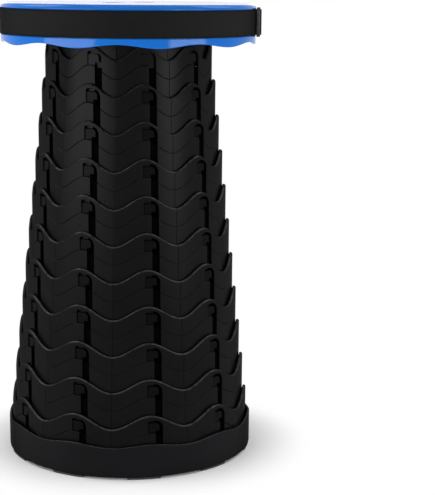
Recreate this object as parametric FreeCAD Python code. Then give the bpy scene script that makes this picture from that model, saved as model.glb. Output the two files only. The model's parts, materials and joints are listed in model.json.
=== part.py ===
import FreeCAD
import Part
import math
import os

Vector = FreeCAD.Vector

# Collapsible telescopic stool, millimetres, +Z up.
# The origin is on the floor at the middle of the base. Azimuth 0 faces -Y and 90 faces +X.
# The stool is modelled drawn out and locked, as it stands in use.

# Tiers: sleeves that slide inside each other, counted from the top one below the seat
TIER_COUNT = 11
TOP_TIER_R = 82.7
SLEEVE_WALL = 2.9
SLEEVE_GAP = 0.87
SLEEVE_HEIGHT = 55.0
TIER_STEP = 34.7
PANEL_COUNT = 10
PANEL_AZIMUTH = 9.3
PANEL_FLATNESS = 1.18
SEAM_WIDTH = 0.7
SEAM_DEPTH = 0.4
WAVE_DEPTH = 13.0
EDGE_CHAMFER = 1.2

# Hooked slot in each panel: a pocket with a channel at its right, and the peg that locks in the pocket.
# Across, sizes count from the panel's middle line, and down, from the crest of the wave.
POCKET_LEFT = -2.2
CHANNEL_LEFT = 5.4
CHANNEL_WIDTH = 7.1
POCKET_TOP_DROP = 4.7
LEDGE_DROP = 17.7
SLOT_ARCH_R = 8.0
POCKET_CORNER_R = 1.8
SLOT_SKIN = 0.8
CHANNEL_WEB = 0.5
CHANNEL_WEB_GAP = 0.5
PEG_SIDE_GAP = 0.2
PEG_FACE_GAP = 0.3
PEG_SEAT_GAP = 0.2
PEG_HEAD_ROOM = 2.8
PEG_FLARE = 4.0
PEG_FLARE_DROP = 2.2
PEG_FLARE_R = 3.6
PEG_LIP = 0.75

# Base
FOOT_HEIGHT = 2.0
FOOT_ARC = 15.0
FOOT_LENGTH = 11.0
FOOT_AZIMUTH = 6.2
FOOT_CHAMFER = 0.6
BASE_WALL = 2.4
BASE_CLEARANCE = 0.66
BASE_LIP = 2.6
BASE_REBATE = 1.3
BASE_REBATE_WIDTH = 7.0
BASE_PLATE_T = 2.2
BASE_PLATE_R = 94.0
BASE_PLATE_GAP = 0.3
BASE_BOSS_R = 20.0
BASE_RIM_DROP = 27.4
BASE_RIM_WAVE = 3.2
BASE_EDGE_R = 1.5
RUN_CLEARANCE = 2.4

# Seat
SKIRT_CLEARANCE = 1.6
SKIRT_WALL = 3.0
SKIRT_BELOW_CREST = 0.3
SKIRT_WAVE = 3.5
SKIRT_WAVE_AZIMUTH = 13.0
SEAT_ABOVE_CREST = 39.0
SEAT_PLATE_T = 4.2
SEAT_EDGE_R = 4.3
SEAT_RIB_T = 2.0
SEAT_RIB_H = 3.4
CLOSED_GAP = 0.6
CAP_R = 45.0
CAP_T = 3.0
CAP_GAP = 0.3
CAP_LEDGE = 3.0
FINGER_HOLE_R = 11.75
FINGER_HOLE_SPACING = 54.5
FINGER_HOLE_DEPTH = 21.0
FINGER_HOLE_EDGE_R = 1.0
CUP_WALL = 1.8
NECK_FLANGE_T = 3.0
NECK_FLANGE_WIDTH = 20.0

# Strap
STRAP_WIDTH = 24.8
STRAP_T = 1.5
STRAP_PROUD = 0.85
STRAP_EDGE_GAP = 0.3
GROOVE_BELOW_TOP = 5.0
HANDLE_AZIMUTH = 146.0
HANDLE_FOOT_SPAN = 70.0
HANDLE_REACH = 75.0
HANDLE_LEAN = 15.0
HANDLE_FOOT_R = 4.0
HANDLE_CORNER_R = 8.0
HANDLE_HINGE_OUT = 3.0
HANDLE_HINGE_GAP = 0.3

# Buckle
BUCKLE_AZIMUTH = 84.0
BUCKLE_LENGTH = 30.0
BUCKLE_HEIGHT = 28.0
BUCKLE_T = 3.4
BUCKLE_BAR = 4.2
BUCKLE_SIDE = 1.2
BUCKLE_CORNER_R = 2.5
BUCKLE_SLOT = 5.6
BUCKLE_EDGE_R = 0.5
TAIL_T = 1.2
TAIL_GAP = 0.1

# Screws
SCREW_R = 1.5
SCREW_HOLE_GAP = 0.05
SCREW_HEAD_R = 3.2
SCREW_HEAD_T = 1.4
SCREW_HEAD_EDGE_R = 0.7
SCREW_RECESS_DEPTH = 0.7
SCREW_RECESS_WIDTH = 1.05
SCREW_TIP_GAP = 0.3
SCREW_COUNT = 6
SCREW_BITE = 2.4
SCREW_LAND = 3.4

# How far cutting blocks reach past what they cut, and the points of a wave's curve
REACH_PAST = 4.0
WAVE_POINTS = 9
WAVE_OVERLAP = 1.15
TINY = 0.001

# Worked out from the sizes above
tier_pitch = SLEEVE_WALL + SLEEVE_GAP
lowest_r = TOP_TIER_R + tier_pitch * (TIER_COUNT - 1)
neck_r = TOP_TIER_R - tier_pitch
half_panel = math.pi / PANEL_COUNT
floor_top = FOOT_HEIGHT + BASE_LIP
lowest_crest = floor_top + RUN_CLEARANCE + SLEEVE_HEIGHT
top_crest = lowest_crest + TIER_STEP * (TIER_COUNT - 1)
neck_crest = top_crest + TIER_STEP
base_inner_r = lowest_r + BASE_CLEARANCE
base_r = base_inner_r + BASE_WALL
base_rim_high = lowest_crest - BASE_RIM_DROP
skirt_inner_r = lowest_r + SKIRT_CLEARANCE
seat_r = skirt_inner_r + SKIRT_WALL
skirt_low = top_crest - SKIRT_BELOW_CREST
seat_top_z = top_crest + SEAT_ABOVE_CREST
seat_under = seat_top_z - SEAT_PLATE_T
cap_seat_z = seat_top_z - CAP_T
groove_r = seat_r + STRAP_PROUD - STRAP_T
groove_top = seat_top_z - GROOVE_BELOW_TOP
groove_bottom = groove_top - STRAP_WIDTH - 2 * STRAP_EDGE_GAP
strap_low = groove_bottom + STRAP_EDGE_GAP
strap_mid_r = groove_r + STRAP_T / 2
strap_mid_z = strap_low + STRAP_WIDTH / 2
slot_right = CHANNEL_LEFT + CHANNEL_WIDTH
slot_groove = SLEEVE_WALL - SLOT_SKIN
plate_low = FOOT_HEIGHT + BASE_REBATE
seat_travel = skirt_low - base_rim_high - CLOSED_GAP - TIER_STEP * (TIER_COUNT - 1)
handle_hinge_r = seat_r + HANDLE_HINGE_OUT
buckle_inner = groove_r + STRAP_T


def tier_r(tier):
    return TOP_TIER_R + tier_pitch * (tier - 1)


def tier_crest(tier):
    return top_crest - TIER_STEP * (tier - 1)


def flat_mid(radius):
    """Distance from the axis to the middle of a slightly flattened panel."""
    bow = PANEL_FLATNESS * radius
    half_chord = radius * math.sin(half_panel)
    return radius * math.cos(half_panel) + bow - math.sqrt(bow * bow - half_chord * half_chord)


def at(radius, angle, height=0.0):
    """A point at an angle in radians from the front, -Y."""
    return Vector(radius * math.sin(angle), -radius * math.cos(angle), height)


def turned(shape, azimuth):
    copy = shape.copy()
    copy.rotate(Vector(0, 0, 0), Vector(0, 0, 1), azimuth)
    return copy


def round_about(shape, first_azimuth):
    """One turned copy of a shape for each panel."""
    return [turned(shape, first_azimuth + 360 / PANEL_COUNT * k) for k in range(PANEL_COUNT)]


def tube(outer, inner, low, high):
    solid = Part.makeCylinder(outer, high - low, Vector(0, 0, low))
    return solid.cut(Part.makeCylinder(inner, high - low, Vector(0, 0, low)))


def disc(radius, low, high, x=0.0, y=0.0):
    return Part.makeCylinder(radius, high - low, Vector(x, y, low))


def box(x_low, x_high, y_low, y_high, z_low, z_high):
    return Part.makeBox(x_high - x_low, y_high - y_low, z_high - z_low, Vector(x_low, y_low, z_low))


def revolved(points):
    """A solid of revolution about Z. A point with a third value rounds that corner by it."""
    corners = [Vector(p[0], 0, p[1]) for p in points]
    radii = [p[2] if len(p) > 2 else 0 for p in points]
    edges = rounded_outline(corners, radii)
    solid = Part.Face(Part.Wire(edges)).revolve(Vector(0, 0, 0), Vector(0, 0, 1), 360)
    if solid.Volume < 0:
        solid.reverse()
    return solid


def rounded_outline(points, radii, closed=True):
    """Edges through the points, with each corner rounded by its radius."""
    count = len(points)
    starts, ends, arcs = [], [], []
    for i in range(count):
        here = points[i]
        corner = closed or 0 < i < count - 1
        if not corner or radii[i] <= 0:
            starts.append(here)
            ends.append(here)
            arcs.append(None)
            continue
        back = (points[i - 1] - here).normalize()
        ahead = (points[(i + 1) % count] - here).normalize()
        half = back.getAngle(ahead) / 2
        leg = radii[i] / math.tan(half)
        middle = (back + ahead).normalize() * (radii[i] / math.sin(half) - radii[i])
        starts.append(here + back * leg)
        ends.append(here + ahead * leg)
        arcs.append(Part.Arc(here + back * leg, here + middle, here + ahead * leg).toShape())
    edges = []
    for i in range(count):
        if arcs[i]:
            edges.append(arcs[i])
        following = (i + 1) % count
        if (closed or i < count - 1) and (starts[following] - ends[i]).Length > TINY:
            edges.append(Part.LineSegment(ends[i], starts[following]).toShape())
    return edges


def wave_drop(angle):
    """0 at a panel's middle and 1 at its seams."""
    return (1 - math.cos(PANEL_COUNT * angle)) / 2


def wave_curve(radius, crest, depth):
    """The wave round a circle, over one panel and a little past its sides."""
    reach = half_panel * WAVE_OVERLAP
    angles = [-reach + 2 * reach * i / (WAVE_POINTS - 1) for i in range(WAVE_POINTS)]
    curve = Part.BSplineCurve()
    curve.interpolate(Points=[at(radius, a, crest - depth * wave_drop(a)) for a in angles], Parameters=angles)
    return curve.toShape()


def wave_tool(inner, outer, crest_inner, crest_outer, depth, height):
    """A block over one panel whose lower or upper side is the wave."""
    low = wave_curve(inner, crest_inner, depth)
    high = wave_curve(outer, crest_outer, depth)
    return Part.makeRuledSurface(low, high).extrude(Vector(0, 0, height))


def panel_block(radius, low, high):
    """One panel of a sleeve wall, with half of a seam line down each side."""
    inner = radius - SLEEVE_WALL
    edge = half_panel - SEAM_WIDTH / 2 / radius
    edge_r = radius - SEAM_DEPTH / 50
    outer_arc = Part.Arc(at(edge_r, -edge), at(flat_mid(radius), 0), at(edge_r, edge)).toShape()
    inner_arc = Part.Arc(at(inner, -half_panel), at(flat_mid(inner), 0), at(inner, half_panel)).toShape()
    seam_r = radius - SEAM_DEPTH
    edges = [outer_arc, inner_arc]
    for side in (-1, 1):
        groove = at(seam_r, side * half_panel)
        edges.append(Part.LineSegment(at(edge_r, side * edge), groove).toShape())
        edges.append(Part.LineSegment(groove, at(inner, side * half_panel)).toShape())
    face = Part.Face(Part.Wire(Part.__sortEdges__(edges)))
    face.translate(Vector(0, 0, low))
    return face.extrude(Vector(0, 0, high - low))


def slot_tools(radius, crest, low):
    """The hooked slot: a pocket, an arch over to the channel, and the channel open at its foot.

    A thin web closes the channel on the inside, below the foot of the sleeve inside this one.
    """
    top = crest - POCKET_TOP_DROP
    ledge = crest - LEDGE_DROP
    web_top = crest + TIER_STEP - SLEEVE_HEIGHT - CHANNEL_WEB_GAP
    corners = [
        Vector(POCKET_LEFT, 0, ledge), Vector(POCKET_LEFT, 0, top), Vector(slot_right, 0, top),
        Vector(slot_right, 0, web_top), Vector(CHANNEL_LEFT, 0, web_top), Vector(CHANNEL_LEFT, 0, ledge),
    ]
    outline = rounded_outline(corners, [0, POCKET_CORNER_R, SLOT_ARCH_R, 0, 0, 0])
    face = Part.Face(Part.Wire(outline))
    outer = radius + SLEEVE_WALL
    face.translate(Vector(0, -outer, 0))
    through = face.extrude(Vector(0, SLEEVE_WALL * 3, 0))
    web_face = flat_mid(radius) - SLEEVE_WALL + CHANNEL_WEB
    channel = box(CHANNEL_LEFT, slot_right, -outer, -web_face, low - REACH_PAST, web_top)
    return [through, channel]


def groove_tool(radius, crest, low):
    """The blind groove inside the wall below the pocket, in which the peg runs."""
    floor = flat_mid(radius - SLEEVE_WALL) + slot_groove
    inner = radius * math.cos(half_panel) - SLEEVE_WALL * 2
    return box(POCKET_LEFT, CHANNEL_LEFT, -floor, -inner, low - REACH_PAST, crest - LEDGE_DROP + TINY)


def peg_block(radius):
    """The locking peg near the foot of a sleeve. It stands in the pocket of the sleeve round it.

    Its heights count from that sleeve's crest. A thin lip flares over the channel.
    """
    left = POCKET_LEFT + PEG_SIDE_GAP
    right = CHANNEL_LEFT - PEG_SIDE_GAP
    foot = PEG_SEAT_GAP - LEDGE_DROP
    top = -POCKET_TOP_DROP - PEG_HEAD_ROOM
    step = foot + PEG_FLARE_DROP
    flare = right + PEG_FLARE
    corner = POCKET_CORNER_R - PEG_SIDE_GAP
    stem = [Vector(left, 0, foot), Vector(left, 0, top), Vector(right, 0, top), Vector(right, 0, foot)]
    lip = [Vector(right, 0, top), Vector(flare, 0, top), Vector(flare, 0, step), Vector(right, 0, step)]
    face_r = flat_mid(radius + SLEEVE_GAP) + slot_groove - PEG_FACE_GAP
    root_r = flat_mid(radius) - SLOT_SKIN / 2
    stem_face = Part.Face(Part.Wire(rounded_outline(stem, [0, corner, 0, 0])))
    lip_face = Part.Face(Part.Wire(rounded_outline(lip, [0, PEG_FLARE_R, 0, 0])))
    peg = stem_face.extrude(Vector(0, face_r - root_r, 0))
    peg = peg.fuse(lip_face.extrude(Vector(0, PEG_LIP, 0)))
    peg.translate(Vector(0, -face_r, 0))
    return peg


def joined_panels(panel):
    """Ten turned copies of a panel, sewn into one closed wall."""
    wall_faces = []
    for face in panel.Faces:
        angles = [math.atan2(v.X, -v.Y) for v in face.Vertexes]
        beside = max(angles) - min(angles) < 1e-5 and abs(abs(angles[0]) - half_panel) < 1e-5
        if not beside:
            wall_faces.append(face)
    every = []
    for face in wall_faces:
        every += round_about(face, PANEL_AZIMUTH)
    shell = Part.makeShell(every)
    shell.sewShape()
    solid = Part.Solid(shell if shell.ShapeType == "Shell" else shell.Shells[0])
    if solid.Volume < 0:
        solid.reverse()
    return solid


def sleeve(tier):
    """One sleeve. The lowest one stands on the floor of the base and has no pegs."""
    radius = tier_r(tier)
    crest = tier_crest(tier)
    low = floor_top if tier == TIER_COUNT else crest - SLEEVE_HEIGHT
    panel = panel_block(radius, low, crest + EDGE_CHAMFER)
    inner = radius - SLEEVE_WALL - REACH_PAST
    slope_start = flat_mid(radius) - EDGE_CHAMFER
    outer = radius + REACH_PAST
    edge_drop = outer - slope_start
    rise = WAVE_DEPTH + REACH_PAST
    panel = panel.cut(wave_tool(inner, slope_start + TINY, crest, crest, WAVE_DEPTH, rise))
    panel = panel.cut(wave_tool(slope_start, outer, crest, crest - edge_drop, WAVE_DEPTH, rise + edge_drop))
    panel = panel.cut(slot_tools(radius, crest, low))
    panel = panel.cut(groove_tool(radius, crest, low))
    if tier < TIER_COUNT:
        peg = peg_block(radius)
        peg.translate(Vector(0, 0, crest - TIER_STEP))
        panel = panel.fuse(peg).removeSplitter()
    return joined_panels(panel)


def seat_neck():
    """The innermost sleeve, whose flange is screwed up against the seat."""
    low = neck_crest - SLEEVE_HEIGHT
    panel = panel_block(neck_r, low, seat_under)
    peg = peg_block(neck_r)
    peg.translate(Vector(0, 0, top_crest))
    panel = panel.fuse(peg).removeSplitter()
    wall = joined_panels(panel)
    flange_r = flat_mid(neck_r) - SLEEVE_WALL / 2
    flange = tube(flange_r, neck_r - NECK_FLANGE_WIDTH - SLEEVE_WALL, seat_under - NECK_FLANGE_T, seat_under)
    neck = wall.fuse(flange)
    return neck.cut(screw_holes(neck_screw_ring(), seat_under - NECK_FLANGE_T, seat_under))


def ring_places(radius, count=SCREW_COUNT):
    return [
        (radius * math.cos(2 * math.pi * k / count), radius * math.sin(2 * math.pi * k / count))
        for k in range(count)
    ]


def neck_screw_ring():
    return neck_r - SLEEVE_WALL - NECK_FLANGE_WIDTH / 2 - SCREW_R


def base_screw_ring():
    return BASE_PLATE_R - SCREW_LAND


def screw_holes(ring, low, high):
    """Holes for the screws on a ring, a little longer than the wall between two heights."""
    return [disc(SCREW_R + SCREW_HOLE_GAP, low - 1, high + 1, x, y) for x, y in ring_places(ring)]


def screws(ring, head_z, top):
    """Screws driven upwards, with their rounded and cross-cut heads under head_z."""
    head_low = head_z - SCREW_HEAD_T
    recess_top = head_low + SCREW_RECESS_DEPTH
    half = SCREW_RECESS_WIDTH / 2
    head = disc(SCREW_HEAD_R, head_low, head_z)
    lower_edges = [e for e in head.Edges if e.BoundBox.ZMax < head_low + TINY]
    head = head.makeFillet(SCREW_HEAD_EDGE_R, lower_edges)
    cross = box(-SCREW_R, SCREW_R, -half, half, head_low, recess_top)
    cross = cross.fuse(box(-half, half, -SCREW_R, SCREW_R, head_low, recess_top))
    screw = head.cut(cross).fuse(disc(SCREW_R, head_z, top)).removeSplitter()
    solids = []
    for x, y in ring_places(ring):
        copy = screw.copy()
        copy.translate(Vector(x, y, 0))
        solids.append(copy)
    return Part.makeCompound(solids)


def seat_top():
    """The blue seat: a plate with a strap groove round its rim and a skirt with a waved lower edge."""
    hole_r = CAP_R + CAP_GAP - CAP_LEDGE
    hem = skirt_low - SKIRT_WAVE
    seat = revolved([
        (CAP_R + CAP_GAP, seat_top_z), (seat_r, seat_top_z, SEAT_EDGE_R), (seat_r, groove_top),
        (groove_r, groove_top), (groove_r, groove_bottom), (seat_r, groove_bottom),
        (seat_r, hem), (skirt_inner_r, hem), (skirt_inner_r, seat_under),
        (hole_r, seat_under), (hole_r, cap_seat_z), (CAP_R + CAP_GAP, cap_seat_z),
    ])
    half = SEAT_RIB_T / 2
    rib_low = seat_under - SEAT_RIB_H
    rib = box(-half, half, -skirt_inner_r - 1, -neck_r - SLEEVE_GAP, rib_low, seat_under + 1)
    seat = seat.fuse(round_about(rib, PANEL_AZIMUTH))
    high = skirt_low + SKIRT_WAVE
    inner, outer = skirt_inner_r - REACH_PAST, seat_r + REACH_PAST
    wave = wave_tool(inner, outer, high, high, SKIRT_WAVE, hem - high)
    seat = seat.cut(round_about(wave, SKIRT_WAVE_AZIMUTH + 180 / PANEL_COUNT))
    seat = seat.cut(screw_holes(neck_screw_ring(), seat_under, seat_under + SCREW_BITE + SCREW_TIP_GAP - 1))
    return seat.removeSplitter()


def seat_cap():
    """The round cap in the middle of the seat, with two finger holes that end in closed cups."""
    cup_low = seat_top_z - FINGER_HOLE_DEPTH - CUP_WALL
    cap = disc(CAP_R, cap_seat_z, seat_top_z)
    reach = FINGER_HOLE_SPACING / 2
    for side in (-1, 1):
        cap = cap.fuse(disc(FINGER_HOLE_R + CUP_WALL, cup_low, seat_top_z, 0, side * reach))
    for side in (-1, 1):
        cap = cap.cut(disc(FINGER_HOLE_R, cup_low + CUP_WALL, seat_top_z + 1, 0, side * reach))
    cap = cap.removeSplitter()
    rims = [
        e for e in cap.Edges
        if abs(e.BoundBox.ZMin - seat_top_z) < TINY and abs(e.BoundBox.XMax - FINGER_HOLE_R) < TINY
    ]
    return turned(cap.makeFillet(FINGER_HOLE_EDGE_R, rims), HANDLE_AZIMUTH)


def base_ring():
    """The outer base: a wall with a gently waved rim and an inward lip at its foot."""
    lip_r = BASE_PLATE_R - BASE_REBATE_WIDTH
    rim = base_rim_high + BASE_RIM_WAVE
    ring = revolved([
        (base_inner_r, rim), (base_r, rim), (base_r, FOOT_HEIGHT, BASE_EDGE_R), (lip_r, FOOT_HEIGHT),
        (lip_r, plate_low), (BASE_PLATE_R + BASE_PLATE_GAP, plate_low),
        (BASE_PLATE_R + BASE_PLATE_GAP, floor_top), (base_inner_r, floor_top),
    ])
    inner, outer = base_inner_r - REACH_PAST, base_r + REACH_PAST
    wave = wave_tool(inner, outer, base_rim_high, base_rim_high, BASE_RIM_WAVE, BASE_RIM_WAVE * 3)
    ring = ring.cut(round_about(wave, PANEL_AZIMUTH))
    ring = ring.cut(screw_holes(base_screw_ring(), FOOT_HEIGHT, plate_low))
    return ring.removeSplitter()


def base_plate():
    """The floor of the base, in the rebate of the lip. Its boss stands on the floor with the pads."""
    plate = disc(BASE_PLATE_R, plate_low, plate_low + BASE_PLATE_T)
    plate = plate.fuse(disc(BASE_BOSS_R, 0, plate_low)).removeSplitter()
    return plate.cut(screw_holes(base_screw_ring(), plate_low, plate_low + BASE_PLATE_T))


def base_feet():
    """Low pads under the base, one below each panel."""
    outer = base_r - BASE_EDGE_R / 3
    inner = outer - FOOT_LENGTH
    half = math.radians(FOOT_ARC) / 2
    edges = [
        Part.Arc(at(outer, -half), at(outer, 0), at(outer, half)).toShape(),
        Part.LineSegment(at(outer, half), at(inner, half)).toShape(),
        Part.Arc(at(inner, half), at(inner, 0), at(inner, -half)).toShape(),
        Part.LineSegment(at(inner, -half), at(outer, -half)).toShape(),
    ]
    pad = Part.Face(Part.Wire(edges)).extrude(Vector(0, 0, FOOT_HEIGHT))
    pad = pad.makeChamfer(FOOT_CHAMFER, [e for e in pad.Edges if e.BoundBox.ZMax < TINY])
    return Part.makeCompound(round_about(pad, FOOT_AZIMUTH))


def webbing(path, thickness=STRAP_T, width=STRAP_WIDTH):
    """Webbing on edge along a level path at the middle of its width."""
    start = path[0].valueAt(path[0].FirstParameter)
    along = path[0].tangentAt(path[0].FirstParameter)
    across = Vector(-along.y, along.x, 0) * (thickness / 2)
    up = Vector(0, 0, width / 2)
    corners = [start + across + up, start - across + up, start - across - up, start + across - up]
    profile = Part.makePolygon(corners + corners[:1])
    return Part.Wire(path).makePipeShell([profile], True, True)


def handle_route():
    """Half of the handle at azimuth 0: its foot on the rim, the foot's bend and the leg's outer end."""
    foot = math.asin(HANDLE_FOOT_SPAN / 2 / strap_mid_r)
    lean = math.radians(HANDLE_LEAN)
    start = at(strap_mid_r, foot, strap_mid_z)
    bend = start + Vector(-math.cos(foot), -math.sin(foot), 0) * HANDLE_FOOT_R
    top_y = -(seat_r + HANDLE_REACH)
    leg = (bend.y - top_y) / math.cos(lean)
    corner = bend + Vector(-math.sin(lean), -math.cos(lean), 0) * leg
    return [start, bend, corner]


def mirrored(point):
    return Vector(-point.x, point.y, point.z)


def handle_cut(outer):
    """The space outside the hinge line, for the handle, or inside it, for the feet."""
    far = seat_r + HANDLE_REACH * 2
    hinge = handle_hinge_r + (HANDLE_HINGE_GAP if outer else 0)
    low, high = (-far, -hinge) if outer else (-hinge, 0)
    return box(-far, far, low, high, groove_bottom, groove_top)


def handle_loop():
    start, bend, corner = handle_route()
    points = [start, bend, corner, mirrored(corner), mirrored(bend), mirrored(start)]
    radii = [0, HANDLE_FOOT_R, HANDLE_CORNER_R, HANDLE_CORNER_R, HANDLE_FOOT_R, 0]
    return webbing(rounded_outline(points, radii, closed=False))


def strap_handle():
    """The carrying loop, outside its hinge line just off the rim."""
    return turned(handle_loop().common(handle_cut(True)), HANDLE_AZIMUTH)


def strap_band():
    """The strap in the groove, with the two feet from which the carrying loop leaves the rim."""
    foot = math.asin(HANDLE_FOOT_SPAN / 2 / strap_mid_r)
    ends = [at(strap_mid_r, angle, strap_mid_z) for angle in (foot, math.pi, -foot)]
    path = Part.Arc(*ends)
    band = webbing([path.toShape()])
    feet = handle_loop().common(handle_cut(False))
    return turned(band.fuse(feet).removeSplitter(), HANDLE_AZIMUTH)


def strap_buckle():
    """The slider: a frame round the strap's width, with a middle bar between two slots."""
    half_length = BUCKLE_LENGTH / 2
    half_height = BUCKLE_HEIGHT / 2
    corners = [
        Vector(-half_length, 0, -half_height), Vector(half_length, 0, -half_height),
        Vector(half_length, 0, half_height), Vector(-half_length, 0, half_height),
    ]
    outline = rounded_outline(corners, [BUCKLE_CORNER_R] * 4)
    frame = Part.Face(Part.Wire(outline)).extrude(Vector(0, -BUCKLE_T, 0))
    slot_high = half_height - BUCKLE_SIDE
    for side in (-1, 1):
        low, high = sorted((side * BUCKLE_BAR / 2, side * (BUCKLE_BAR / 2 + BUCKLE_SLOT)))
        frame = frame.cut(box(low, high, -BUCKLE_T - 1, 1, -slot_high, slot_high))
    outer_edges = [e for e in frame.Edges if abs(e.BoundBox.YMax + BUCKLE_T) < TINY]
    frame = frame.makeFillet(BUCKLE_EDGE_R, outer_edges)
    frame.translate(Vector(0, -buckle_inner, strap_mid_z))
    return turned(frame, BUCKLE_AZIMUTH)


def strap_tail():
    """The strap's free end, up through one slot of the slider, over its bar and down the other."""
    rise = BUCKLE_T + TAIL_GAP + TAIL_T / 2
    reach = BUCKLE_BAR / 2 + TAIL_GAP + TAIL_T / 2
    foot = TAIL_T / 2 + TAIL_GAP
    run = reach + (BUCKLE_SLOT - TAIL_T - 2 * TAIL_GAP) / 2
    points = [(-run, foot), (-reach, rise), (reach, rise), (run, foot)]
    corners = [Vector(x, -buckle_inner - y, strap_mid_z) for x, y in points]
    path = rounded_outline(corners, [0, TAIL_T, TAIL_T, 0], closed=False)
    tail = webbing(path, TAIL_T, STRAP_WIDTH - 2 * TAIL_GAP)
    return turned(tail, BUCKLE_AZIMUTH)


def write(name, shape):
    if not shape.isValid():
        print("not valid:", name)
    shape.exportStep("parts/" + name + ".step")
    print(name, len(shape.Solids), round(shape.Volume / 1000, 2))


os.makedirs("parts", exist_ok=True)
for tier in range(1, TIER_COUNT + 1):
    write("sleeve_%02d" % tier, sleeve(tier))
write("seat_top", seat_top())
write("seat_cap", seat_cap())
write("seat_neck", seat_neck())
write("seat_screws", screws(neck_screw_ring(), seat_under - NECK_FLANGE_T, seat_under + SCREW_BITE))
write("base_ring", base_ring())
write("base_plate", base_plate())
write("base_feet", base_feet())
write("base_screws", screws(base_screw_ring(), FOOT_HEIGHT, plate_low + BASE_PLATE_T))
write("strap_band", strap_band())
write("strap_handle", strap_handle())
write("strap_buckle", strap_buckle())
write("strap_tail", strap_tail())
print("seat travel", round(seat_travel, 2), "seat radius", round(seat_r, 2), "height", round(seat_top_z, 2))
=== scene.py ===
import json
import math

import bmesh
import bpy
from bpy.props import FloatProperty, FloatVectorProperty, IntProperty, PointerProperty
from bpy.types import Operator, Panel, PropertyGroup
from mathutils import Matrix, Vector
from mathutils.geometry import delaunay_2d_cdt


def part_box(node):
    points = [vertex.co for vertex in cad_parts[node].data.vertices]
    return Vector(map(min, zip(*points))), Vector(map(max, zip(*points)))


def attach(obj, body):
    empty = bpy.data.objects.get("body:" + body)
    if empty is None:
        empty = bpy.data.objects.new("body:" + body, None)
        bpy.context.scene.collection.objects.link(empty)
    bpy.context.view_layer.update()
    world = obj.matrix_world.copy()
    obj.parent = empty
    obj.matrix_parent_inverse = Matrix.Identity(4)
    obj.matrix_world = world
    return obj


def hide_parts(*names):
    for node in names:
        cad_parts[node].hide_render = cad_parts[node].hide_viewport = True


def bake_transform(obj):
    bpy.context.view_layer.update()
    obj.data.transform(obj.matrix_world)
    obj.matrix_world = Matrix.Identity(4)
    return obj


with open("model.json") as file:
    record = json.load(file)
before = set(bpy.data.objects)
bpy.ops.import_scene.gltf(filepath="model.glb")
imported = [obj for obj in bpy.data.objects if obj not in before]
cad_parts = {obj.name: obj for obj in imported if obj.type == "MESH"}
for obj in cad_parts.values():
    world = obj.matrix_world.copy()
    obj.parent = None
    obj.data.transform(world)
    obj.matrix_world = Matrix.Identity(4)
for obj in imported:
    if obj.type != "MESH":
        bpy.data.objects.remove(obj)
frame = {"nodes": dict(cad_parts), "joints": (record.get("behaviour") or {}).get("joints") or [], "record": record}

bl_info = {
    "name": "Telescopic stool",
    "version": (1, 0, 0),
    "blender": (4, 5, 0),
    "location": "View3D > Sidebar > Stool",
    "description": "Finishes a collapsible stool of nested sleeves round its packed model",
    "category": "Object",
}

MM = 0.001
FULL_TURN = 2 * math.pi

# How much brighter black plastic is at a worn edge, and how matt a black piece is where it is seen edge-on, where
# moulded black also turns darker, a painted shade
WORN_BLACK = 9.0
EDGE_ON_MATT = 0.85

# Points round the base, the seat, the cap and a finger hole, and along the webbing round the rim
BASE_STEPS = 240
SEAT_STEPS = 360
CAP_STEPS = 96
HOLE_STEPS = 48
RIM_STEPS = 200

# Radius of the flat spot in the middle of a cup's floor
SPOT_R = 0.5 * MM

# How far below a sleeve's crest, and below the seat's top, the radius is read
BELOW_CREST = 15 * MM
BELOW_TOP = 20 * MM

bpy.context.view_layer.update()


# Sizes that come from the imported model

def node_reach(node, above):
    """Greatest distance from the axis of a node's points above a height."""
    points = frame["nodes"][node].data.vertices
    return max(math.hypot(v.co.x, v.co.y) for v in points if v.co.z > above)


def opening_middle(name):
    """Middle of a stated opening."""
    for opening in frame["record"]["physics"]["openings"]:
        if opening["name"] == name:
            low, high = opening["box_m"]
            return (Vector(low) + Vector(high)) / 2
    raise KeyError(name)


sleeve_names = sorted(n for n in frame["nodes"] if n.startswith("sleeve_"))
crests = {n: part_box(n)[1].z for n in sleeve_names}
tier_step = crests["sleeve_01"] - crests["sleeve_02"]
radii = {n: node_reach(n, crests[n] - BELOW_CREST) for n in sleeve_names}
tier_pitch = radii["sleeve_02"] - radii["sleeve_01"]
seat_top_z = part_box("seat_top")[1].z
seat_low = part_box("seat_top")[0].z
seat_r = node_reach("seat_top", seat_top_z - BELOW_TOP)
base_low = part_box("base_ring")[0].z
base_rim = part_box("base_ring")[1].z
base_r = node_reach("base_ring", base_low)
plate_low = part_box("base_plate")[0].z
strap_low = min(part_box("strap_band")[0].z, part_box("strap_handle")[0].z)
strap_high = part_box("strap_band")[1].z
hinge = next(j for j in frame["joints"] if j["name"] == "handle_fold")
hinge_at = Vector(hinge["pos_m"])
handle_azimuth = math.atan2(hinge_at.x, -hinge_at.y)


def length(name, description, millimetres):
    """A size, given in millimetres."""
    return FloatProperty(
        name=name, description=description, default=millimetres * MM, unit="LENGTH", precision=5)


def plain(name, description, value):
    """A number without a unit."""
    return FloatProperty(name=name, description=description, default=value)


def turn(name, description, degrees):
    """An angle, given in degrees."""
    return FloatProperty(name=name, description=description, default=math.radians(degrees), unit="ROTATION")


def colour(name, description, value):
    """A colour as red, green and blue from 0 to 1."""
    return FloatVectorProperty(
        name=name, description=description, default=value, size=3, subtype="COLOR", min=0, max=1)


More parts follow.
